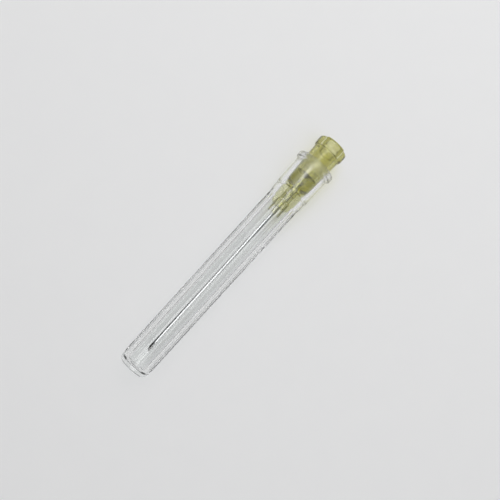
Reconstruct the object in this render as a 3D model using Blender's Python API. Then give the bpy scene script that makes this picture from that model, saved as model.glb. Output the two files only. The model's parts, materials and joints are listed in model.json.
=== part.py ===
"""A hypodermic needle of 0.9 x 38 mm (20 gauge) in its clear sheath, lying on its side.

Blender 4.5, metres, +Z up. The needle's axis runs along X, with the hub toward +X and
the point toward -X. A station is a distance along that axis from the hub's rear face.
The whole part leans by the small angle at which the sheath lies on its rim and on two
of its ribs, and the origin is under its middle, at floor height.
"""

import math

import bmesh
import bpy
from mathutils import Matrix, Vector

MM = 0.001

# Hub: a moulded socket with a lugged flange, a tapered body, four fins and a nose
FLANGE_THICKNESS = 2.3 * MM
FLANGE_DIAMETER = 6.9 * MM
LUG_SPAN = 7.8 * MM
LUG_WIDTH = 4.0 * MM
LUG_CORNER = 0.45 * MM
FLANGE_REAR_ROUNDING = 0.5 * MM
FLANGE_SLOPE_LENGTH = 0.9 * MM
FLANGE_SLOPE_DROP = 0.3 * MM
BODY_LENGTH = 9.8 * MM
BODY_REAR_DIAMETER = 6.2 * MM
BODY_FRONT_DIAMETER = 5.3 * MM
BODY_FRONT_ROUNDING = 0.8 * MM
NOSE_LENGTH = 7.1 * MM
NOSE_DIAMETER = 2.4 * MM
NOSE_DRAFT = 0.1 * MM
NOSE_ROUNDING = 0.2 * MM
FIN_LENGTH = 5.9 * MM
FIN_ROUNDING = 2.0 * MM
FIN_THICKNESS = 0.7 * MM
FIN_STEP = 0.15 * MM
SOCKET_MOUTH_DIAMETER = 4.3 * MM
SOCKET_TAPER = 0.06
SOCKET_DEPTH = 9.6 * MM
SOCKET_CHAMFER = 0.15 * MM
SOCKET_FLOOR_CONE = 0.9 * MM
PASSAGE_LIP = 0.9 * MM

# Cannula: a steel tube with a lancet point, ground by one long bevel and two side bevels
CANNULA_OUTER_DIAMETER = 0.9 * MM
CANNULA_INNER_DIAMETER = 0.6 * MM
EXPOSED_LENGTH = 38.1 * MM
BEVEL_LENGTH = 2.6 * MM
SIDE_BEVEL_ANGLE = math.radians(25.0)
SIDE_BEVEL_ROLL = math.radians(30.0)
BEVEL_ROLL = math.radians(20.0)
CANNULA_FIT = 0.02 * MM

# Adhesive: fills a well in the nose and creeps up the cannula
WELL_WIDTH = 0.35 * MM
WELL_DEPTH = 1.8 * MM
BEAD_RISE = 0.8 * MM
BEAD_FEATHER = 0.03 * MM

# Sheath: a closed tube with a flared rim, a skirt over the hub, shoulders and outer ribs
EXPOSED_BODY = 3.2 * MM
SHEATH_FIT = 0.05 * MM
SKIRT_WALL = 0.95 * MM
SKIRT_DRAFT = 0.06 * MM
RIM_WIDTH = 1.2 * MM
RIM_FLARE = 0.5 * MM
RIM_ROUNDING = 0.25 * MM
FLARE_LENGTH = 0.7 * MM
FLARE_START = 0.2 * MM
MOUTH_CHAMFER = 0.25 * MM
STOP_GAP = 0.3 * MM
STOP_WALL = 0.9 * MM
STEP_LENGTH = 0.25 * MM
STEP_HEIGHT = 0.15 * MM
LAND_LENGTH = 1.25 * MM
SHOULDER_LENGTH = 1.3 * MM
FIN_CLEARANCE = 0.1 * MM
TUBE_WALL = 1.0 * MM
TUBE_DRAFT = 0.2 * MM
TIP_ROOM = 3.6 * MM
END_WALL = 0.9 * MM
END_ROUNDING_LENGTH = 1.6 * MM
END_ROUNDING_DEPTH = 0.9 * MM
RIB_COUNT = 12
RIB_HEIGHT = 0.12 * MM
RIB_WIDTH = 0.45 * MM
RIB_ROOT = 0.3 * MM
RIB_RUN_OUT = 0.8 * MM

ROUND_SEGMENTS = 48
CANNULA_SEGMENTS = 24
ARC_STEPS = 5
LUG_STEPS = 8
DISC_STEPS = 14
WELD = 1e-7
SHARP_ANGLE = math.radians(32.0)

# Stations and radii that follow from the sizes above
BODY_FRONT = FLANGE_THICKNESS + BODY_LENGTH
HUB_LENGTH = BODY_FRONT + NOSE_LENGTH
FIN_REACH = BODY_FRONT_DIAMETER / 2 - FIN_STEP
POINT = HUB_LENGTH + EXPOSED_LENGTH
CANNULA_REAR = SOCKET_DEPTH + PASSAGE_LIP
WELL_RADIUS = CANNULA_OUTER_DIAMETER / 2 + WELL_WIDTH
MOUTH = FLANGE_THICKNESS + EXPOSED_BODY
STOP = BODY_FRONT + STOP_GAP
SKIRT_END = STOP + STOP_WALL
TUBE_START = SKIRT_END + STEP_LENGTH + LAND_LENGTH + SHOULDER_LENGTH
BORE_END = POINT + TIP_ROOM
SHEATH_END = BORE_END + END_WALL
TUBE_END = SHEATH_END - END_ROUNDING_LENGTH
BORE_RADIUS = FIN_REACH + FIN_CLEARANCE
TUBE_RADIUS = BORE_RADIUS + TUBE_WALL
RIB_START = TUBE_START
RIB_END = TUBE_END


def body_radius(station):
    """The hub body's radius, which tapers evenly from the flange to its front."""
    share = (station - FLANGE_THICKNESS) / BODY_LENGTH
    return (BODY_REAR_DIAMETER + share * (BODY_FRONT_DIAMETER - BODY_REAR_DIAMETER)) / 2


def tube_radius(station):
    """The sheath tube's outer radius, which narrows toward the closed end."""
    share = (station - TUBE_START) / (TUBE_END - TUBE_START)
    return TUBE_RADIUS - share * TUBE_DRAFT


def arc(centre, reach, start, end, steps=ARC_STEPS):
    """Points of an elliptic arc about a centre, from one angle to another in degrees."""
    angles = [math.radians(start + (end - start) * i / steps) for i in range(steps + 1)]
    return [
        (centre[0] + reach[0] * math.cos(a), centre[1] + reach[1] * math.sin(a))
        for a in angles
    ]


def material(name, colour, roughness, metallic=0.0, transmission=0.0):
    made = bpy.data.materials.new(name)
    made.use_nodes = True
    made.diffuse_color = (*colour, 1.0)
    shader = made.node_tree.nodes["Principled BSDF"]
    shader.inputs["Base Color"].default_value = (*colour, 1.0)
    shader.inputs["Roughness"].default_value = roughness
    shader.inputs["Metallic"].default_value = metallic
    shader.inputs["Transmission Weight"].default_value = transmission
    return made


def add_object(name, bm, carrier, look=None):
    """Puts a bmesh on the carrier. One without a look is a helper that isn't drawn."""
    bmesh.ops.recalc_face_normals(bm, faces=bm.faces)
    mesh = bpy.data.meshes.new(name)
    bm.to_mesh(mesh)
    bm.free()
    thing = bpy.data.objects.new(name, mesh)
    bpy.context.scene.collection.objects.link(thing)
    thing.parent = carrier
    if look is None:
        thing.hide_render = True
        thing.display_type = "WIRE"
    else:
        mesh.materials.append(look)
        mesh.shade_smooth()
        mesh.set_sharp_from_angle(angle=SHARP_ANGLE)
    return thing


def turned(outline, segments, closed=True):
    """Spins an outline of (station, radius) points once round the needle's axis."""
    bm = bmesh.new()
    points = [bm.verts.new((-station, 0.0, radius)) for station, radius in outline]
    pairs = list(zip(points, points[1:]))
    if closed:
        pairs.append((points[-1], points[0]))
    edges = [bm.edges.new(pair) for pair in pairs]
    bmesh.ops.spin(
        bm,
        geom=points + edges,
        cent=(0.0, 0.0, 0.0),
        axis=(1.0, 0.0, 0.0),
        angle=2 * math.pi,
        steps=segments,
    )
    bmesh.ops.remove_doubles(bm, verts=bm.verts, dist=WELD)
    bmesh.ops.dissolve_degenerate(bm, edges=bm.edges, dist=WELD)
    return bm


def add_slab(bm, corners, depth):
    """Adds a flat outline, pushed along the depth vector into a closed plate."""
    face = bm.faces.new([bm.verts.new(corner) for corner in corners])
    pushed = bmesh.ops.extrude_face_region(bm, geom=[face])
    moved = [piece for piece in pushed["geom"] if isinstance(piece, bmesh.types.BMVert)]
    bmesh.ops.translate(bm, verts=moved, vec=depth)


def combine(target, helper, operation):
    step = target.modifiers.new(helper.name, "BOOLEAN")
    step.operation = operation
    step.object = helper


def flange_solid():
    """The flange: a disc with two lugs, one up and one down, for a luer lock's thread. Its
    outline shrinks where the section rounds over to the rear face and slopes to the body."""
    half_lug = math.degrees(math.asin(LUG_WIDTH / LUG_SPAN))
    half_foot = math.degrees(math.asin(min(1.0, (LUG_WIDTH + 2 * LUG_CORNER) / FLANGE_DIAMETER)))
    lug = (LUG_SPAN / 2, LUG_SPAN / 2)
    disc = (FLANGE_DIAMETER / 2, FLANGE_DIAMETER / 2)
    outline = []
    for middle in (90.0, 270.0):
        outline += arc((0.0, 0.0), lug, middle - half_lug, middle + half_lug, LUG_STEPS)
        outline += arc((0.0, 0.0), disc, middle + half_foot, middle + 180.0 - half_foot, DISC_STEPS)
    rear = (FLANGE_REAR_ROUNDING, FLANGE_REAR_ROUNDING)
    slope = (FLANGE_SLOPE_LENGTH, FLANGE_SLOPE_DROP)
    slope_centre = (FLANGE_THICKNESS - FLANGE_SLOPE_LENGTH, FLANGE_SLOPE_DROP)
    section = arc(rear, rear, 180.0, 270.0) + arc(slope_centre, slope, 270.0, 360.0)
    bm = bmesh.new()
    rings = []
    for station, inset in section:
        kept = [1.0 - inset / math.hypot(y, z) for y, z in outline]
        rings.append(
            [bm.verts.new((-station, y * k, z * k)) for (y, z), k in zip(outline, kept)]
        )
    bm.faces.new(rings[0])
    bm.faces.new(rings[-1])
    for ring, following in zip(rings, rings[1:]):
        for i in range(len(outline)):
            bm.faces.new((ring[i - 1], ring[i], following[i], following[i - 1]))
    return bm


def fin_slabs():
    """Two crossed plates with a round front, one upright and one level. They stand out of
    the nose as four fins."""
    front = BODY_FRONT + FIN_LENGTH
    rounding = arc((front - FIN_ROUNDING, 0.0), (FIN_ROUNDING, FIN_REACH), 90.0, -90.0, 12)
    root = BODY_FRONT - BODY_FRONT_ROUNDING
    outline = [(root, -FIN_REACH), (root, FIN_REACH), *rounding]
    bm = bmesh.new()
    for roll in (0.0, math.pi / 2):
        turn = Matrix.Rotation(roll, 3, "X")
        corners = [turn @ Vector((-s, -FIN_THICKNESS / 2, r)) for s, r in outline]
        add_slab(bm, corners, turn @ Vector((0.0, FIN_THICKNESS, 0.0)))
    return bm


def hub_outline():
    """The hub's body and nose, from inside the flange to the nose's tip."""
    nose_tip = NOSE_DIAMETER / 2 - NOSE_DRAFT
    front_corner = (BODY_FRONT - BODY_FRONT_ROUNDING, body_radius(BODY_FRONT) - BODY_FRONT_ROUNDING)
    nose_corner = (HUB_LENGTH - NOSE_ROUNDING, nose_tip - NOSE_ROUNDING)
    return [
        (FLANGE_THICKNESS / 2, 0.0),
        (FLANGE_THICKNESS / 2, BODY_REAR_DIAMETER / 2),
        (FLANGE_THICKNESS, BODY_REAR_DIAMETER / 2),
        *arc(front_corner, (BODY_FRONT_ROUNDING, BODY_FRONT_ROUNDING), 90.0, 0.0),
        (BODY_FRONT, NOSE_DIAMETER / 2),
        *arc(nose_corner, (NOSE_ROUNDING, NOSE_ROUNDING), 90.0, 0.0, 3),
        (HUB_LENGTH, 0.0),
    ]


def hub_bore_outline():
    """The luer socket, the passage that holds the cannula and the well for the adhesive."""
    mouth = SOCKET_MOUTH_DIAMETER / 2
    floor = mouth - SOCKET_TAPER * SOCKET_DEPTH / 2
    passage = CANNULA_OUTER_DIAMETER / 2 + CANNULA_FIT
    overrun = 1.0 * MM
    return [
        (-overrun, 0.0),
        (-overrun, mouth + SOCKET_CHAMFER),
        (0.0, mouth + SOCKET_CHAMFER),
        (SOCKET_CHAMFER, mouth),
        (SOCKET_DEPTH - SOCKET_FLOOR_CONE, floor),
        (SOCKET_DEPTH, passage),
        (HUB_LENGTH - WELL_DEPTH, passage),
        (HUB_LENGTH - WELL_DEPTH, WELL_RADIUS),
        (HUB_LENGTH + overrun, WELL_RADIUS),
        (HUB_LENGTH + overrun, 0.0),
    ]


def cannula_outline():
    outer = CANNULA_OUTER_DIAMETER / 2
    inner = CANNULA_INNER_DIAMETER / 2
    return [(CANNULA_REAR, inner), (CANNULA_REAR, outer), (POINT, outer), (POINT, inner)]


def bevel_block(angle, roll):
    """A block whose lower face is a grinding plane through the cannula's point."""
    side = 4 * BEVEL_LENGTH
    bm = bmesh.new()
    bmesh.ops.create_cube(bm, size=side)
    lift = Matrix.Translation((0.0, 0.0, side / 2))
    slope = Matrix.Rotation(-angle, 4, "Y")
    tilt = Matrix.Rotation(roll, 4, "X")
    tip = Matrix.Translation((-POINT, 0.0, -CANNULA_OUTER_DIAMETER / 2))
    facing = Matrix.Rotation(-BEVEL_ROLL, 4, "X")
    bmesh.ops.transform(bm, matrix=facing @ tip @ tilt @ slope @ lift, verts=bm.verts)
    return bm


def adhesive_outline():
    """The cured bead: a plug in the nose's well with a hollow fillet up to the cannula."""
    bore = CANNULA_OUTER_DIAMETER / 2 + CANNULA_FIT
    plug = WELL_RADIUS - CANNULA_FIT
    rear = HUB_LENGTH - WELL_DEPTH + CANNULA_FIT
    feather = bore + BEAD_FEATHER
    fillet = arc((HUB_LENGTH + BEAD_RISE, plug), (BEAD_RISE, plug - feather), 180.0, 270.0)
    return [(rear, bore), (rear, plug), *fillet, (HUB_LENGTH + BEAD_RISE, bore)]


def sheath_outline():
    """The sheath's section, from the middle of its closed end round to the bore's end."""
    skirt = body_radius(MOUTH) + SHEATH_FIT + SKIRT_WALL
    rim = skirt + RIM_FLARE
    corner = (RIM_ROUNDING, RIM_ROUNDING)
    land = skirt - SKIRT_DRAFT - STEP_HEIGHT
    flare_end = MOUTH + RIM_WIDTH + FLARE_LENGTH
    lead_in = body_radius(MOUTH + 2 * MOUTH_CHAMFER) + SHEATH_FIT
    outside = [
        *arc((MOUTH + RIM_ROUNDING, rim - RIM_ROUNDING), corner, 180.0, 90.0, 3),
        *arc((MOUTH + RIM_WIDTH - RIM_ROUNDING, rim - RIM_ROUNDING), corner, 90.0, 0.0, 3),
        *arc((flare_end, skirt + FLARE_START), (FLARE_LENGTH, FLARE_START), 180.0, 270.0),
        (SKIRT_END, skirt - SKIRT_DRAFT),
        (SKIRT_END + STEP_LENGTH, land),
        (SKIRT_END + STEP_LENGTH + LAND_LENGTH, land),
        (TUBE_START, TUBE_RADIUS),
        *arc(
            (TUBE_END, tube_radius(TUBE_END) - END_ROUNDING_DEPTH),
            (END_ROUNDING_LENGTH, END_ROUNDING_DEPTH),
            90.0,
            0.0,
        ),
    ]
    inside = [
        (BORE_END, BORE_RADIUS - TUBE_DRAFT - END_ROUNDING_DEPTH),
        (BORE_END - END_ROUNDING_DEPTH, BORE_RADIUS - TUBE_DRAFT),
        (STOP, BORE_RADIUS),
        (STOP, body_radius(STOP) + SHEATH_FIT),
        (MOUTH + 2 * MOUTH_CHAMFER, lead_in),
        (MOUTH, lead_in + MOUTH_CHAMFER),
    ]
    return [(BORE_END, 0.0), *inside, *outside, (SHEATH_END, 0.0)]


def rib_slabs():
    """The sheath's ribs. Each follows the tube's taper and fades out at both ends."""
    first, last = RIB_START + RIB_RUN_OUT, RIB_END - RIB_RUN_OUT
    outline = [
        (RIB_START, tube_radius(RIB_START) - RIB_ROOT),
        (RIB_START, tube_radius(RIB_START) - RIB_HEIGHT / 4),
        (first, tube_radius(first) + RIB_HEIGHT),
        (last, tube_radius(last) + RIB_HEIGHT),
        (RIB_END, tube_radius(RIB_END) - RIB_HEIGHT / 4),
        (RIB_END, tube_radius(RIB_END) - RIB_ROOT),
    ]
    bm = bmesh.new()
    for i in range(RIB_COUNT):
        turn = Matrix.Rotation(2 * math.pi * (i + 0.5) / RIB_COUNT, 3, "X")
        corners = [turn @ Vector((-s, -RIB_WIDTH / 2, -r)) for s, r in outline]
        add_slab(bm, corners, turn @ Vector((0.0, RIB_WIDTH, 0.0)))
    return bm


def add_resting_axis():
    """An empty at the rear end of the needle's axis, leaning as the sheath comes to rest."""
    rim = body_radius(MOUTH) + SHEATH_FIT + SKIRT_WALL + RIM_FLARE
    rim_station = MOUTH + RIM_WIDTH / 2
    tail_station = RIB_END - RIB_RUN_OUT
    spread = math.pi / RIB_COUNT
    rib_top = tube_radius(tail_station) + RIB_HEIGHT
    tail = rib_top * math.cos(spread) + RIB_WIDTH / 2 * math.sin(spread)
    lean = math.atan2(rim - tail, tail_station - rim_station)
    height = rim_station * math.sin(lean) + rim * math.cos(lean)
    end_radius = tube_radius(TUBE_END) - END_ROUNDING_DEPTH
    overhang = (LUG_SPAN / 2 - FLANGE_REAR_ROUNDING - end_radius) * math.sin(lean)
    middle = (SHEATH_END * math.cos(lean) - overhang) / 2
    axis = bpy.data.objects.new("needle_axis", None)
    bpy.context.scene.collection.objects.link(axis)
    axis.location = (middle, 0.0, height)
    axis.rotation_euler = (0.0, -lean, 0.0)
    return axis


def add_hub(axis):
    look = material("hub_polypropylene", (0.62, 0.50, 0.10), 0.3, transmission=0.5)
    hub = add_object("hub", turned(hub_outline(), ROUND_SEGMENTS, closed=False), axis, look)
    combine(hub, add_object("hub_flange", flange_solid(), axis), "UNION")
    combine(hub, add_object("hub_fins", fin_slabs(), axis), "UNION")
    bore = turned(hub_bore_outline(), ROUND_SEGMENTS, closed=False)
    combine(hub, add_object("hub_bore", bore, axis), "DIFFERENCE")


def add_cannula(axis):
    look = material("cannula_steel", (0.62, 0.62, 0.63), 0.22, metallic=1.0)
    cannula = add_object("cannula", turned(cannula_outline(), CANNULA_SEGMENTS), axis, look)
    main_angle = math.atan2(CANNULA_OUTER_DIAMETER, BEVEL_LENGTH)
    grinds = {
        "main_bevel": (main_angle, 0.0),
        "left_bevel": (SIDE_BEVEL_ANGLE, SIDE_BEVEL_ROLL),
        "right_bevel": (SIDE_BEVEL_ANGLE, -SIDE_BEVEL_ROLL),
    }
    for name, (angle, roll) in grinds.items():
        combine(cannula, add_object(name, bevel_block(angle, roll), axis), "DIFFERENCE")


def add_adhesive(axis):
    look = material("cured_epoxy", (0.80, 0.82, 0.80), 0.15, transmission=0.8)
    add_object("adhesive_bead", turned(adhesive_outline(), CANNULA_SEGMENTS), axis, look)


def add_sheath(axis):
    look = material("sheath_polypropylene", (0.90, 0.91, 0.90), 0.2, transmission=0.9)
    sheath = add_object("sheath", turned(sheath_outline(), ROUND_SEGMENTS, closed=False), axis, look)
    combine(sheath, add_object("sheath_ribs", rib_slabs(), axis), "UNION")


def main():
    for thing in list(bpy.data.objects):
        bpy.data.objects.remove(thing, do_unlink=True)
    axis = add_resting_axis()
    add_hub(axis)
    add_cannula(axis)
    add_adhesive(axis)
    add_sheath(axis)


main()
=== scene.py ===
"""The looks of a capped hypodermic needle: hub, cannula, adhesive bead and sheath."""

import json
import math

import bpy
import numpy as np
from mathutils import Matrix, Vector


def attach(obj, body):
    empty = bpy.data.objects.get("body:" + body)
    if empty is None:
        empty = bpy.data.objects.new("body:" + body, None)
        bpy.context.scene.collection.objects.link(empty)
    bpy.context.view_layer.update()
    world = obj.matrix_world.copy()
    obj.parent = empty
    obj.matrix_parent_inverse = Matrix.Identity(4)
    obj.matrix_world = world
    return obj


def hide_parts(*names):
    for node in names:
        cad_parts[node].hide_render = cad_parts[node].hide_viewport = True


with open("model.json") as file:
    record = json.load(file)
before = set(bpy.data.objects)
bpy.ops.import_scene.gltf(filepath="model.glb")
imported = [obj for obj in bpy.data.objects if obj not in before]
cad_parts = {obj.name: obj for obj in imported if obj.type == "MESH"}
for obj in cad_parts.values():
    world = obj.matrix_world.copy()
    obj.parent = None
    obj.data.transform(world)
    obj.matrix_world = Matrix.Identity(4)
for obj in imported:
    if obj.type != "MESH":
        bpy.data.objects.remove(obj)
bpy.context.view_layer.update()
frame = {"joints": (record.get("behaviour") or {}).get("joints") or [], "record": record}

# The hub is one moulding in translucent yellow polypropylene: a luer socket with a lugged
# flange, a tapered body, four fins and a nose. Its edges are rounded as they leave the
# mould. The steel tube is glued into it, so plastic and steel touch with no air between.

MM = 0.001
FLANGE_THICKNESS = 2.3 * MM
FLANGE_RADIUS = 3.45 * MM
LUG_RADIUS = 3.9 * MM
LUG_HALF_WIDTH = 2.0 * MM
LUG_CORNER = 0.45 * MM
FLANGE_REAR_ROUNDING = 0.5 * MM
FLANGE_SLOPE_LENGTH = 0.9 * MM
FLANGE_SLOPE_DROP = 0.3 * MM
FLANGE_FILLET_SHARE = 0.35
BODY_REAR_RADIUS = 3.1 * MM
BODY_FRONT_RADIUS = 2.65 * MM
BODY_FRONT = 12.1 * MM
BODY_FRONT_ROUNDING = 0.8 * MM
FRONT_FACE_DRAFT = 0.1 * MM
HUB_LENGTH = 19.2 * MM
NOSE_ROOT_RADIUS = 1.2 * MM
NOSE_TIP_RADIUS = 1.1 * MM
NOSE_ROUNDING = 0.2 * MM
FIN_REACH = 2.5 * MM
FIN_HALF_THICKNESS = 0.35 * MM
FIN_FRONT = 18.0 * MM
FIN_ROUNDING = 2.0 * MM
FIN_CREST_POWER = 10
FIN_ROOT_POWER = 9
FIN_FRONT_LIMIT = 0.9999
EDGE_ON = 1e-3
SOCKET_MOUTH_RADIUS = 2.15 * MM
SOCKET_TAPER = 0.06
SOCKET_DEPTH = 9.6 * MM
SOCKET_CHAMFER = 0.15 * MM
SOCKET_FLOOR_CONE = 0.9 * MM
CANNULA_RADIUS = 0.45 * MM
WETTING = 0.01 * MM
PASSAGE_RADIUS = CANNULA_RADIUS - WETTING
WELL_RADIUS = 0.8 * MM
WELL_FLOOR = 17.4 * MM
HUB_AROUND = 384
HUB_PALE = (0.86, 0.85, 0.70, 1.0)
HUB_FLOW_MARK = (0.82, 0.81, 0.64, 1.0)
HUB_DEPTH = (0.78, 0.77, 0.20, 1.0)
HUB_DEPTH_DENSITY = 470.0
HUB_SHADOW = (0.99, 0.99, 0.97, 1.0)
POLYPROPYLENE_IOR = 1.49

mount = frame["record"]["mounts"][0]
pull = frame["joints"][0]["axis"]
REAR = np.array([mount["pos_m"][0], 0.0, mount["pos_m"][2]])
AHEAD = np.array(pull) / np.linalg.norm(pull)
SIDE = np.array([0.0, 1.0, 0.0])
UP = np.cross(AHEAD, SIDE)
UP = UP * np.sign(UP[2])

# Patterns on the pieces use a turned frame, in which the needle's axis is level along X.
# LEAN is the turn about Y that takes the axis from level to its place, and REAR_LEVEL is
# the rear face's middle in the turned frame.
LEAN = math.atan2(AHEAD[2], -AHEAD[0])
REAR_LEVEL = Matrix.Rotation(-LEAN, 3, "Y") @ Vector(REAR)


def round_axis(station, radius, angle):
    """Points at a station ahead of the hub's rear face, a radius off the needle's axis and
    an angle round it, counted from the top."""
    station, radius, angle = np.broadcast_arrays(station, radius, angle)
    out = radius * np.cos(angle)
    across = radius * np.sin(angle)
    return REAR + station[..., None] * AHEAD + out[..., None] * UP + across[..., None] * SIDE


def closed_skin(name, rings, first_pole=None, last_pole=None):
    """A closed mesh over rings of points, shaped (rows, around, 3). Neighbours along a ring
    and in the next ring make quads. Each end closes in a fan round its pole, and with no
    poles the last ring joins the first."""
    rows, around, _ = rings.shape
    ring = np.arange(around)
    following = np.roll(ring, -1)
    lower = np.arange(rows - 1)[:, None] * around
    if first_pole is None:
        lower = np.arange(rows)[:, None] * around
    upper = (lower + around) % (rows * around)
    corners = [lower + ring, lower + following, upper + following, upper + ring]
    quads = np.stack(corners, axis=-1).reshape(-1, 4)
    points = rings.reshape(-1, 3)
    fans = np.empty((0, 3), int)
    if first_pole is not None:
        last_row = (rows - 1) * around
        first = np.full(around, len(points))
        start = np.stack([following, ring, first], axis=-1)
        end = np.stack([last_row + ring, last_row + following, first + 1], axis=-1)
        points = np.vstack([points, first_pole, last_pole])
        fans = np.vstack([start, end])
    corner = points[np.vstack([quads[:, [0, 1, 2]], quads[:, [0, 2, 3]], fans])]
    if np.einsum("ij,ij->", corner[:, 0], np.cross(corner[:, 1], corner[:, 2])) < 0:
        quads, fans = quads[:, ::-1], fans[:, ::-1]
    mesh = bpy.data.meshes.new(name)
    mesh.vertices.add(len(points))
    mesh.vertices.foreach_set("co", points.astype(np.float32).ravel())
    used = np.concatenate([quads.ravel(), fans.ravel()])
    mesh.loops.add(len(used))
    mesh.loops.foreach_set("vertex_index", used.astype(np.int32))
    mesh.polygons.add(len(quads) + len(fans))
    starts = np.concatenate([np.arange(len(quads)) * 4, quads.size + np.arange(len(fans)) * 3])
    mesh.polygons.foreach_set("loop_start", starts.astype(np.int32))
    mesh.update(calc_edges=True)
    mesh.shade_smooth()
    piece = bpy.data.objects.new(name, mesh)
    bpy.context.scene.collection.objects.link(piece)
    return piece


def turn(count):
    """Evenly spaced angles of a full turn, as a row."""
    return np.linspace(0.0, 2 * math.pi, count, endpoint=False)[None, :]


def run(first, last, count):
    """Evenly spaced values from first up to, but not including, last, one row for each. A
    higher count divides that stretch of a surface more finely."""
    return np.linspace(first, last, count, endpoint=False).reshape(count, -1)


def sine_run(first, last, count):
    """Rows from first up to last along a quarter of a sine: fast, then levelling off. A pair
    of a sine run and a cosine run goes round a quarter of an ellipse."""
    return first + (last - first) * np.sin(run(0.0, math.pi / 2, count))


def cosine_run(first, last, count):
    """Rows from first up to last along one less a quarter of a cosine: level, then fast."""
    return first + (last - first) * (1 - np.cos(run(0.0, math.pi / 2, count)))


def turned_section(stretches, angle):
    """Rings of points from the stretches of a section. Each is a pair, the stations and the
    radii, with a row for each ring, a value for each angle, both, or one value for all."""
    pairs = [np.broadcast_arrays(station, radius, angle)[:2] for station, radius in stretches]
    stations, radii = zip(*pairs)
    return round_axis(np.vstack(stations), np.vstack(radii), angle)


def ease(share):
    """A share from 0 to 1, eased in and out along a cubic."""
    share = np.clip(share, 0.0, 1.0)
    return share * share * (3 - 2 * share)


def smooth_max(first, second, power):
    """The larger of two lengths, with a fillet where they are alike: a root of the sum of
    their powers."""
    return (first**power + second**power) ** (1 / power)


def smooth_min(first, second, power):
    """The smaller of two lengths, rounded where they are alike: the same with negative
    powers."""
    return (first**-power + second**-power) ** (-1 / power)


def body_radius(station):
    """The hub body's radius at a station, which tapers evenly from the flange to its front."""
    share = (station - FLANGE_THICKNESS) / (BODY_FRONT - FLANGE_THICKNESS)
    return BODY_REAR_RADIUS + share * (BODY_FRONT_RADIUS - BODY_REAR_RADIUS)


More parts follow.
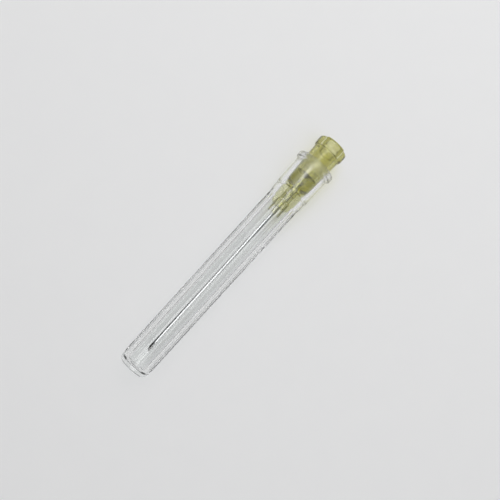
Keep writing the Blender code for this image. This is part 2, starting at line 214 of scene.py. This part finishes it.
def hub_rings():
    """The hub's section, from the socket's mouth out over the flange, body, fins and nose, and
    back inside to the mouth. Two lugs ease the flange's radius out on opposite sides, and
    edges are rounded along quarters of ellipses."""
    angle = turn(HUB_AROUND)
    off_lug = np.abs((angle + math.pi / 2) % math.pi - math.pi / 2)
    lug_edge = math.asin(LUG_HALF_WIDTH / LUG_RADIUS)
    lug_foot = math.asin((LUG_HALF_WIDTH + LUG_CORNER) / FLANGE_RADIUS)
    lug = ease((lug_foot - off_lug) / (lug_foot - lug_edge))
    flange = FLANGE_RADIUS + (LUG_RADIUS - FLANGE_RADIUS) * lug

    def fins(station):
        """Nose and fins: a disc of the nose's radius, and two crossed plates whose reach runs
        out along an ellipse at the front. Two small limits keep the reach and the divisor
        away from zero."""
        past = (station - FIN_FRONT + FIN_ROUNDING) / FIN_ROUNDING
        past = np.clip(past, 0.0, FIN_FRONT_LIMIT)
        reach = FIN_REACH * np.sqrt(1 - past * past)
        across = np.minimum(np.abs(np.sin(angle)), np.abs(np.cos(angle)))
        side = FIN_HALF_THICKNESS / np.maximum(across, EDGE_ON)
        plate = smooth_min(reach, side, FIN_CREST_POWER)
        draft = (station - BODY_FRONT) / (HUB_LENGTH - BODY_FRONT)
        nose = NOSE_ROOT_RADIUS + draft * (NOSE_TIP_RADIUS - NOSE_ROOT_RADIUS)
        return smooth_max(nose, plate, FIN_ROOT_POWER)

    mouth = SOCKET_MOUTH_RADIUS + SOCKET_CHAMFER
    rear_inner = flange - FLANGE_REAR_ROUNDING
    side_end = FLANGE_THICKNESS - FLANGE_SLOPE_LENGTH
    front_edge = flange - FLANGE_SLOPE_DROP
    fillet = FLANGE_FILLET_SHARE * (front_edge - BODY_REAR_RADIUS)
    body_start = FLANGE_THICKNESS + fillet
    foot = cosine_run(FLANGE_THICKNESS, body_start, 6)
    body = run(body_start, BODY_FRONT - BODY_FRONT_ROUNDING, 12)
    section = [
        (0.0, run(mouth, rear_inner, 3)),
        (cosine_run(0.0, FLANGE_REAR_ROUNDING, 8), sine_run(rear_inner, flange, 8)),
        (run(FLANGE_REAR_ROUNDING, side_end, 3), flange),
        (sine_run(side_end, FLANGE_THICKNESS, 10), cosine_run(flange, front_edge, 10)),
        (FLANGE_THICKNESS, run(front_edge, BODY_REAR_RADIUS + fillet, 3)),
        (foot, body_radius(foot) + sine_run(fillet, 0.0, 6)),
        (body, body_radius(body)),
    ]
    face = BODY_FRONT_RADIUS - BODY_FRONT_ROUNDING
    face_end = BODY_FRONT + FRONT_FACE_DRAFT
    fins_turn = FIN_FRONT - FIN_ROUNDING
    nose_end = HUB_LENGTH - NOSE_ROUNDING
    edge = sine_run(BODY_FRONT - BODY_FRONT_ROUNDING, BODY_FRONT, 8)
    # From the body's rounded front on, the wider of the body's face and the fins shows.
    for station, least in (
        (edge, cosine_run(BODY_FRONT_RADIUS, face, 8)),
        (run(BODY_FRONT, face_end, 8), run(face, NOSE_ROOT_RADIUS, 8)),
        (run(face_end, fins_turn, 8), 0.0),
        (sine_run(fins_turn, FIN_FRONT, 26), 0.0),
        (run(FIN_FRONT, nose_end, 5), 0.0),
    ):
        section.append((station, np.maximum(least, fins(station))))
    tip_face = NOSE_TIP_RADIUS - NOSE_ROUNDING
    floor = SOCKET_MOUTH_RADIUS - SOCKET_TAPER * SOCKET_DEPTH / 2
    wall_end = SOCKET_DEPTH - SOCKET_FLOOR_CONE
    section += [
        (sine_run(nose_end, HUB_LENGTH, 6), cosine_run(NOSE_TIP_RADIUS, tip_face, 6)),
        (HUB_LENGTH, run(tip_face, WELL_RADIUS, 2)),
        (run(HUB_LENGTH, WELL_FLOOR, 4), WELL_RADIUS),
        (WELL_FLOOR, run(WELL_RADIUS, PASSAGE_RADIUS, 3)),
        (run(WELL_FLOOR, SOCKET_DEPTH, 8), PASSAGE_RADIUS),
        (run(SOCKET_DEPTH, wall_end, 5), run(PASSAGE_RADIUS, floor, 5)),
        (run(wall_end, SOCKET_CHAMFER, 10), run(floor, SOCKET_MOUTH_RADIUS, 10)),
        (run(SOCKET_CHAMFER, 0.0, 2), run(SOCKET_MOUTH_RADIUS, mouth, 2)),
    ]
    return turned_section(section, angle)


class Finish:
    """A material under construction: each call adds a node, and inputs may be links."""

    def __init__(self, name):
        self.material = bpy.data.materials.new(name)
        self.material.use_nodes = True
        self.tree = self.material.node_tree
        self.tree.nodes.clear()
        self.output = self.tree.nodes.new("ShaderNodeOutputMaterial")

    def add(self, kind, inputs=None, **settings):
        """A new shader node. An input is a value, or another node's output to link to it."""
        node = self.tree.nodes.new("ShaderNode" + kind)
        for key, value in settings.items():
            setattr(node, key, value)
        for key, value in (inputs or {}).items():
            if isinstance(value, bpy.types.NodeSocket):
                self.tree.links.new(value, node.inputs[key])
            else:
                node.inputs[key].default_value = value
        return node

    def along_needle(self, stretch=(1.0, 1.0, 1.0)):
        """Object coordinates, stretched and then turned about Y. Unstretched, they are the
        turned frame, in which the needle's axis is level along X."""
        where = self.add("TexCoord").outputs["Object"]
        turned = self.add(
            "Mapping", {"Vector": where, "Rotation": (0.0, -LEAN, 0.0), "Scale": stretch}
        )
        return turned.outputs["Vector"]

    def cloud(self, stretch, detail):
        """A noise pattern, stretched by its own amounts along X, Y and Z. X is about a degree
        off the needle's axis."""
        inputs = {"Vector": self.along_needle(stretch), "Detail": detail}
        return self.add("TexNoise", inputs).outputs["Fac"]

    def blend(self, first, second, share):
        """A colour from the first to the second. A Mix node has several sockets of one name,
        so its colour sockets are picked by number."""
        mix = self.add("Mix", {6: first, 7: second, 0: share}, data_type="RGBA")
        return mix.outputs[2]

    def off_axis(self):
        """The distance from the needle's axis, which in the turned frame is level, at the
        height of the rear face's middle."""
        shift = {0: self.along_needle(), 1: (0.0, 0.0, REAR_LEVEL.z)}
        from_axis = self.add("VectorMath", shift, operation="SUBTRACT")
        flatten = {0: from_axis.outputs[0], 1: (0.0, 1.0, 1.0)}
        across = self.add("VectorMath", flatten, operation="MULTIPLY")
        length = self.add("VectorMath", {0: across.outputs[0]}, operation="LENGTH")
        return length.outputs["Value"]

    def let_light_through(self, shader, tint):
        """The shader, with light on its way from a lamp or to a dull surface passing straight
        through, so that the floor under clear plastic isn't black."""
        path = self.add("LightPath")
        kinds = {0: path.outputs["Is Shadow Ray"], 1: path.outputs["Is Diffuse Ray"]}
        passes = self.add("Math", kinds, operation="MAXIMUM")
        clear = self.add("BsdfTransparent", {"Color": tint})
        mixed = {0: passes.outputs[0], 1: shader.outputs[0], 2: clear.outputs[0]}
        return self.add("MixShader", mixed)

    def give(self, piece, shader):
        """Ends the material in the shader and puts it on the piece."""
        self.tree.links.new(shader.outputs[0], self.output.inputs["Surface"])
        piece.data.materials.clear()
        piece.data.materials.append(self.material)


def hub_finish(piece):
    """Translucent moulded plastic: it lets light through and takes its yellow from the depth
    that the light crosses, with cloudy flow marks and a satin skin."""
    finish = Finish("yellow_polypropylene")
    flow = finish.cloud((200, 700, 700), 4.0)
    skin = finish.cloud((9000, 9000, 9000), 2.0)
    bump = finish.add("Bump", {"Height": skin, "Strength": 0.05, "Distance": 0.01 * MM})
    shader = finish.add(
        "BsdfPrincipled",
        {
            "Base Color": finish.blend(HUB_PALE, HUB_FLOW_MARK, flow),
            "Roughness": 0.12,
            "IOR": POLYPROPYLENE_IOR,
            "Transmission Weight": 0.94,
            "Subsurface Weight": 0.5,
            "Subsurface Radius": (1.0, 0.9, 0.4),
            "Subsurface Scale": 1.0 * MM,
            "Normal": bump.outputs["Normal"],
        },
    )
    finish.give(piece, finish.let_light_through(shader, HUB_SHADOW))
    depth = finish.add("VolumeAbsorption", {"Color": HUB_DEPTH, "Density": HUB_DEPTH_DENSITY})
    finish.tree.links.new(depth.outputs[0], finish.output.inputs["Volume"])


hub = closed_skin("hub_moulding", hub_rings())
hub.data.set_sharp_from_angle(angle=math.radians(50))
hub_finish(hub)
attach(hub, "needle")
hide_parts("hub")

# The cannula is a drawn stainless tube, 0.9 mm across, ground to a lancet point by one long
# bevel and two side bevels.

CANNULA_BORE_RADIUS = 0.3 * MM
CANNULA_REAR = 10.5 * MM
POINT = 57.3 * MM
BEVEL_LENGTH = 2.6 * MM
SIDE_BEVEL_ANGLE = math.radians(25.0)
SIDE_BEVEL_ROLL = math.radians(30.0)
BEVEL_ROLL = math.radians(20.0)
CANNULA_AROUND = 192
TUBE_ROWS = 40
GROUND_ROWS = 6
REAR_ROWS = 3
BORE_EDGE = 0.03 * MM
BRIGHT_STEEL = (0.56, 0.57, 0.58, 1.0)
# Painted shade: the bore's steel is near black, standing in for the shade inside the tube.
BORE_PAINTED_SHADE = (0.05, 0.05, 0.05, 1.0)


def bevel_reach(radius, angle):
    """How far back from the point the grinding starts, at a radius and an angle round the
    axis. A plane sloping up from the point at the foot of the tube is higher the further
    back it is, and the deepest of the three planes counts."""
    turned = angle - BEVEL_ROLL
    height = radius * np.cos(turned) + CANNULA_RADIUS
    sideways = np.abs(radius * np.sin(turned))
    main = height * BEVEL_LENGTH / (2 * CANNULA_RADIUS)
    rolled = math.cos(SIDE_BEVEL_ROLL) * height + math.sin(SIDE_BEVEL_ROLL) * sideways
    side = rolled / math.tan(SIDE_BEVEL_ANGLE)
    return np.maximum(main, side)


def cannula_rings():
    """The tube's outside from its rear end to the bevels, the ground rim across the wall, and
    the bore back to the rear end."""
    angle = turn(CANNULA_AROUND) + BEVEL_ROLL
    rows = []
    for first_radius, last_radius, start, end, count in (
        (CANNULA_RADIUS, CANNULA_RADIUS, 0.0, 1.0, TUBE_ROWS),
        (CANNULA_RADIUS, CANNULA_BORE_RADIUS, 1.0, 1.0, GROUND_ROWS),
        (CANNULA_BORE_RADIUS, CANNULA_BORE_RADIUS, 1.0, 0.0, TUBE_ROWS),
        (CANNULA_BORE_RADIUS, CANNULA_RADIUS, 0.0, 0.0, REAR_ROWS),
    ):
        share = run(start, end, count)
        radius = run(first_radius, last_radius, count)
        stop = POINT - bevel_reach(radius, angle)
        rows.append(round_axis(CANNULA_REAR + share * (stop - CANNULA_REAR), radius, angle))
    return np.vstack(rows)


def steel_finish(piece):
    """Drawn steel: fine scratches along the tube, mostly smooth, a little uneven. The bore is
    painted near black as its shade, so the metal is dark near the needle's axis."""
    finish = Finish("drawn_steel")
    lines = finish.cloud((600, 40000, 40000), 3.0)
    rough = finish.add("MapRange", {"Value": lines, "To Min": 0.12, "To Max": 0.28})
    bump = finish.add("Bump", {"Height": lines, "Strength": 0.15, "Distance": 0.005 * MM})
    # Painted shade: this mask is 0 in the bore and 1 on the outer steel, fading over
    # BORE_EDGE.
    edge = {"From Min": CANNULA_BORE_RADIUS, "From Max": CANNULA_BORE_RADIUS + BORE_EDGE}
    wall = finish.add("MapRange", {"Value": finish.off_axis(), **edge})
    shader = finish.add(
        "BsdfPrincipled",
        {
            "Base Color": finish.blend(BORE_PAINTED_SHADE, BRIGHT_STEEL, wall.outputs["Result"]),
            "Metallic": 1.0,
            "Roughness": rough.outputs["Result"],
            "Normal": bump.outputs["Normal"],
        },
    )
    finish.give(piece, shader)


cannula = closed_skin("cannula_tube", cannula_rings())
cannula.data.set_sharp_from_angle(angle=math.radians(25))
steel_finish(cannula)
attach(cannula, "needle")
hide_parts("cannula")

# The adhesive is a drop of clear epoxy, cured in the well of the nose, with a hollow fillet
# that creeps up the steel tube.

BEAD_RISE = 0.8 * MM
BEAD_FIT = 0.02 * MM
BEAD_FEATHER = 0.03 * MM
BEAD_AROUND = 128
EPOXY_CLEAR = (0.86, 0.88, 0.85, 1.0)
EPOXY_IOR = 1.52


def bead_rings():
    """A turned section: a plug in the well, a quarter of an ellipse falling to the tube, and
    the bore that fits the tube."""
    bore = CANNULA_RADIUS - WETTING
    plug = WELL_RADIUS - BEAD_FIT
    rear = WELL_FLOOR + BEAD_FIT
    front = HUB_LENGTH + BEAD_RISE
    feather = bore + BEAD_FEATHER
    section = [
        (run(rear, HUB_LENGTH, 4), plug),
        (cosine_run(HUB_LENGTH, front, 14), sine_run(plug, feather, 14)),
        (front, feather),
        (front, bore),
        (run(HUB_LENGTH, rear, 4), bore),
        (rear, bore),
    ]
    return turned_section(section, turn(BEAD_AROUND))


def epoxy_finish(piece):
    """Clear cured resin: smooth, with a faint unevenness in its skin."""
    finish = Finish("cured_epoxy")
    swell = finish.cloud((1500, 1500, 1500), 2.0)
    bump = finish.add("Bump", {"Height": swell, "Strength": 0.3, "Distance": 0.03 * MM})
    shader = finish.add(
        "BsdfPrincipled",
        {
            "Base Color": EPOXY_CLEAR,
            "Roughness": 0.08,
            "IOR": EPOXY_IOR,
            "Transmission Weight": 0.9,
            "Normal": bump.outputs["Normal"],
        },
    )
    finish.give(piece, shader)


bead = closed_skin("epoxy_bead", bead_rings())
bead.data.set_sharp_from_angle(angle=math.radians(40))
epoxy_finish(bead)
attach(bead, "needle")
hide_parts("adhesive_bead")

# The sheath is one moulding in clear polypropylene: a flared rim, a skirt that grips the
# hub, two shoulders, and a long closed tube with twelve low ribs along its outside.

MOUTH = 5.5 * MM
SKIRT_WALL = 0.95 * MM
SHEATH_FIT = 0.05 * MM
SKIRT_DRAFT = 0.06 * MM
RIM_WIDTH = 1.2 * MM
RIM_FLARE = 0.5 * MM
RIM_ROUNDING = 0.25 * MM
FLARE_LENGTH = 0.7 * MM
FLARE_START = 0.2 * MM
MOUTH_CHAMFER = 0.25 * MM
STOP = 12.4 * MM
SKIRT_END = 13.3 * MM
STEP_LENGTH = 0.25 * MM
STEP_HEIGHT = 0.15 * MM
LAND_LENGTH = 1.25 * MM
TUBE_START = 16.1 * MM
TUBE_RADIUS = 3.6 * MM
TUBE_DRAFT = 0.2 * MM
BORE_RADIUS = 2.6 * MM
BORE_END = 60.9 * MM
SHEATH_END = 61.8 * MM
END_ROUNDING_LENGTH = 1.6 * MM
END_ROUNDING_DEPTH = 0.9 * MM
RIB_COUNT = 12
RIB_HEIGHT = 0.12 * MM
RIB_HALF_WIDTH = 0.55 * MM
RIB_RUN_OUT = 0.8 * MM
SHEATH_AROUND = 480
BORE_FACE_ROWS = 6
SHEATH_CLEAR = (0.965, 0.97, 0.965, 1.0)
SHEATH_SHADOW = (0.975, 0.98, 0.98, 1.0)
RIM_HAZE = 0.22
RIM_HAZE_RUN = 0.8 * MM


def sheath_rings():
    """The sheath's skin, from the bore's closed end back inside to the mouth, then out over
    the rim, down the skirt and shoulders, and along the ribbed tube to the closed end. A rib
    is a bell-shaped bump in the radius, level at its foot and crest, that eases out at both
    ends."""
    angle = turn(SHEATH_AROUND)
    pitch = 2 * math.pi / RIB_COUNT
    off_rib = np.abs(angle % pitch - pitch / 2)
    tube_end = SHEATH_END - END_ROUNDING_LENGTH

    def tube(station):
        """The ribbed tube's radius, which tapers evenly from its start to its end."""
        radius = TUBE_RADIUS - TUBE_DRAFT * (station - TUBE_START) / (tube_end - TUBE_START)
        across = np.clip(radius * off_rib / RIB_HALF_WIDTH, 0.0, 1.0)
        rising = ease((station - TUBE_START) / RIB_RUN_OUT)
        falling = ease((tube_end - station) / RIB_RUN_OUT)
        return radius + RIB_HEIGHT * rising * falling * (1 - across**2) ** 2

    bore_tail = BORE_RADIUS - TUBE_DRAFT
    bore_face = bore_tail - END_ROUNDING_DEPTH
    wall_start = BORE_END - END_ROUNDING_DEPTH
    grip_end = MOUTH + 2 * MOUTH_CHAMFER
    grip = run(STOP, grip_end, 10)
    lead_in = body_radius(grip_end) + SHEATH_FIT
    mouth_edge = lead_in + MOUTH_CHAMFER
    inside = [
        (BORE_END, run(bore_face / BORE_FACE_ROWS, bore_face, BORE_FACE_ROWS - 1)),
        (cosine_run(BORE_END, wall_start, 10), sine_run(bore_face, bore_tail, 10)),
        (run(wall_start, STOP, 16), run(bore_tail, BORE_RADIUS, 16)),
        (STOP, run(BORE_RADIUS, body_radius(STOP) + SHEATH_FIT, 3)),
        (grip, body_radius(grip) + SHEATH_FIT),
        (run(grip_end, MOUTH, 3), run(lead_in, mouth_edge, 3)),
    ]
    skirt = body_radius(MOUTH) + SHEATH_FIT + SKIRT_WALL
    skirt_front = skirt - SKIRT_DRAFT
    land = skirt_front - STEP_HEIGHT
    rim = skirt + RIM_FLARE
    rim_face = rim - RIM_ROUNDING
    rim_start = MOUTH + RIM_ROUNDING
    collar = MOUTH + RIM_WIDTH
    rim_end = collar - RIM_ROUNDING
    flare_end = collar + FLARE_LENGTH
    land_start = SKIRT_END + STEP_LENGTH
    shoulder = land_start + LAND_LENGTH
    outside = [
        (MOUTH, run(mouth_edge, rim_face, 3)),
        (cosine_run(MOUTH, rim_start, 6), sine_run(rim_face, rim, 6)),
        (run(rim_start, rim_end, 3), rim),
        (sine_run(rim_end, collar, 6), cosine_run(rim, rim_face, 6)),
        (cosine_run(collar, flare_end, 14), sine_run(skirt + FLARE_START, skirt, 14)),
        (run(flare_end, SKIRT_END, 8), run(skirt, skirt_front, 8)),
        (run(SKIRT_END, land_start, 6), skirt_front - STEP_HEIGHT * ease(run(0.0, 1.0, 6))),
        (run(land_start, shoulder, 4), land),
        (run(shoulder, TUBE_START, 14), run(land, TUBE_RADIUS, 14)),
    ]
    rib_start = TUBE_START + RIB_RUN_OUT
    rib_end = tube_end - RIB_RUN_OUT
    for station in (
        run(TUBE_START, rib_start, 8),
        run(rib_start, rib_end, 16),
        run(rib_end, tube_end, 8),
    ):
        outside.append((station, tube(station)))
    end_radius = TUBE_RADIUS - TUBE_DRAFT
    end_face = end_radius - END_ROUNDING_DEPTH
    outside += [
        (sine_run(tube_end, SHEATH_END, 16), cosine_run(end_radius, end_face, 16)),
        (SHEATH_END, run(end_face, 0.0, 8)),
    ]
    return turned_section(inside + outside, angle)


def sheath_finish(piece):
    """Clear plastic with a faint, uneven haze. The flared rim is hazier than the rest."""
    finish = Finish("clear_polypropylene")
    haze = finish.cloud((150, 600, 600), 2.0)
    even = finish.add("MapRange", {"Value": haze, "To Min": 0.02, "To Max": 0.06})
    along = finish.add("SeparateXYZ", {0: finish.along_needle()})
    flare_end = REAR_LEVEL.x - (MOUTH + RIM_WIDTH + FLARE_LENGTH)
    ends = {"From Min": flare_end - RIM_HAZE_RUN, "From Max": flare_end, "To Max": RIM_HAZE}
    rim = finish.add("MapRange", {"Value": along.outputs["X"], **ends})
    both = {0: even.outputs["Result"], 1: rim.outputs["Result"]}
    rough = finish.add("Math", both, operation="ADD")
    shader = finish.add(
        "BsdfPrincipled",
        {
            "Base Color": SHEATH_CLEAR,
            "Roughness": rough.outputs[0],
            "IOR": POLYPROPYLENE_IOR,
            "Transmission Weight": 0.98,
        },
    )
    finish.give(piece, finish.let_light_through(shader, SHEATH_SHADOW))


sheath = closed_skin(
    "sheath_moulding",
    sheath_rings(),
    round_axis(BORE_END, 0.0, 0.0).reshape(1, 3),
    round_axis(SHEATH_END, 0.0, 0.0).reshape(1, 3),
)
sheath.data.set_sharp_from_angle(angle=math.radians(50))
sheath_finish(sheath)
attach(sheath, "cap")
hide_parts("sheath")

# The studio: a pale matt table, a narrow strip lamp over the needle, a key lamp off its hub
# end, and two softboxes above, one toward each end and on opposite sides. The room is dim
# and even. The camera looks down, a little toward the hub.

TABLE_SIZE = 6.0
TABLE_SHADE = (0.89, 0.89, 0.895, 1.0)
TABLE_PALE = (0.91, 0.91, 0.91, 1.0)

table_mesh = bpy.data.meshes.new("table_top")
half = TABLE_SIZE / 2
table_corners = [(-half, -half, 0), (half, -half, 0), (half, half, 0), (-half, half, 0)]
table_mesh.from_pydata(table_corners, [], [(0, 1, 2, 3)])
table = bpy.data.objects.new("table_top", table_mesh)
bpy.context.scene.collection.objects.link(table)
table_finish = Finish("matt_table")
grain = table_finish.add("TexNoise", {"Scale": 900.0, "Detail": 3.0})
table_colour = table_finish.blend(TABLE_SHADE, TABLE_PALE, grain.outputs["Fac"])
matt = table_finish.add("BsdfPrincipled", {"Base Color": table_colour, "Roughness": 0.9})
table_finish.give(table, matt)


def faced(place, aim, upward):
    """A turned frame at a place whose Z axis points away from the aim, with its Y axis as near
    to the upward direction as can be. Lamps and the camera look along its negative Z."""
    back = (Vector(place) - Vector(aim)).normalized()
    right = Vector(upward).cross(back).normalized()
    axes = Matrix((right, back.cross(right), back)).transposed()
    return Matrix.Translation(Vector(place)) @ axes.to_4x4()


def softbox(name, size, watts, frame_matrix):
    """A rectangular lamp in a turned frame. Its size is given along the frame's X and Y."""
    lamp = bpy.data.lights.new(name, "AREA")
    lamp.shape = "RECTANGLE"
    lamp.size, lamp.size_y = size
    lamp.energy = watts
    holder = bpy.data.objects.new(name, lamp)
    bpy.context.scene.collection.objects.link(holder)
    holder.matrix_world = frame_matrix


STRIP_PLACE = (-0.010, 0.010, 0.450)
STRIP_TURN = math.radians(53.0)
STRIP_SIZE = (0.10, 0.42)
STRIP_WATTS = 0.34
KEY_PLACE = (0.45, 0.08, 0.50)
KEY_SIZE = (0.5, 0.4)
KEY_WATTS = 2.2
HUB_END_PLACE = (0.33, 0.35, 0.80)
POINT_END_PLACE = (-0.17, -0.35, 0.80)
END_SOFTBOX_SIZE = (0.5, 0.8)
END_SOFTBOX_WATTS = 1.45
ROOM_LEVEL = 0.10
ROOM_TINT = (0.96, 0.98, 1.0, 1.0)

strip_along = (math.cos(STRIP_TURN), math.sin(STRIP_TURN), 0.0)
strip_aim = (STRIP_PLACE[0], STRIP_PLACE[1], 0.0)
softbox("strip_lamp", STRIP_SIZE, STRIP_WATTS, faced(STRIP_PLACE, strip_aim, strip_along))
key_frame = faced(KEY_PLACE, (0.0, 0.0, 0.0), (0.0, 0.0, 1.0))
softbox("key_softbox", KEY_SIZE, KEY_WATTS, key_frame)
for name, place in (("hub_end", HUB_END_PLACE), ("point_end", POINT_END_PLACE)):
    end_frame = faced(place, (place[0], 0.0, 0.0), (0.0, 1.0, 0.0))
    softbox(name + "_softbox", END_SOFTBOX_SIZE, END_SOFTBOX_WATTS, end_frame)

world = bpy.data.worlds.new("plain_room")
bpy.context.scene.world = world
world.use_nodes = True
room_light = world.node_tree.nodes["Background"]
room_light.inputs["Strength"].default_value = ROOM_LEVEL
room_light.inputs["Color"].default_value = ROOM_TINT

AXIS_IN_VIEW = math.radians(47.9)
NEEDLE_MIDDLE_PIXEL = (234.8, 254.8)
IMAGE_PIXELS = 500
FOCAL_PIXELS = 636.0
CAMERA_DISTANCE = 0.1308
CAMERA_LEAN = math.radians(5.3)
SENSOR_WIDTH = 36.0
CLIP_START = 0.01

middle = Vector(REAR + AHEAD * SHEATH_END / 2)
pixel = CAMERA_DISTANCE / FOCAL_PIXELS
rightward = Vector((math.cos(AXIS_IN_VIEW), -math.sin(AXIS_IN_VIEW), 0.0))
upward = Vector((math.sin(AXIS_IN_VIEW), math.cos(AXIS_IN_VIEW), 0.0))
to_right = (IMAGE_PIXELS / 2 - NEEDLE_MIDDLE_PIXEL[0]) * pixel
to_top = (NEEDLE_MIDDLE_PIXEL[1] - IMAGE_PIXELS / 2) * pixel
off_upright = Vector((-math.sin(CAMERA_LEAN), 0.0, math.cos(CAMERA_LEAN)))
camera_data = bpy.data.cameras.new("camera")
camera_data.sensor_width = SENSOR_WIDTH
camera_data.lens = SENSOR_WIDTH * FOCAL_PIXELS / IMAGE_PIXELS
camera_data.clip_start = CLIP_START
camera = bpy.data.objects.new("camera", camera_data)
camera_aim = middle + rightward * to_right + upward * to_top
camera.matrix_world = faced(middle + CAMERA_DISTANCE * off_upright, camera_aim, upward)
bpy.context.scene.collection.objects.link(camera)
bpy.context.scene.camera = camera
bpy.context.scene.view_settings.view_transform = "Standard"
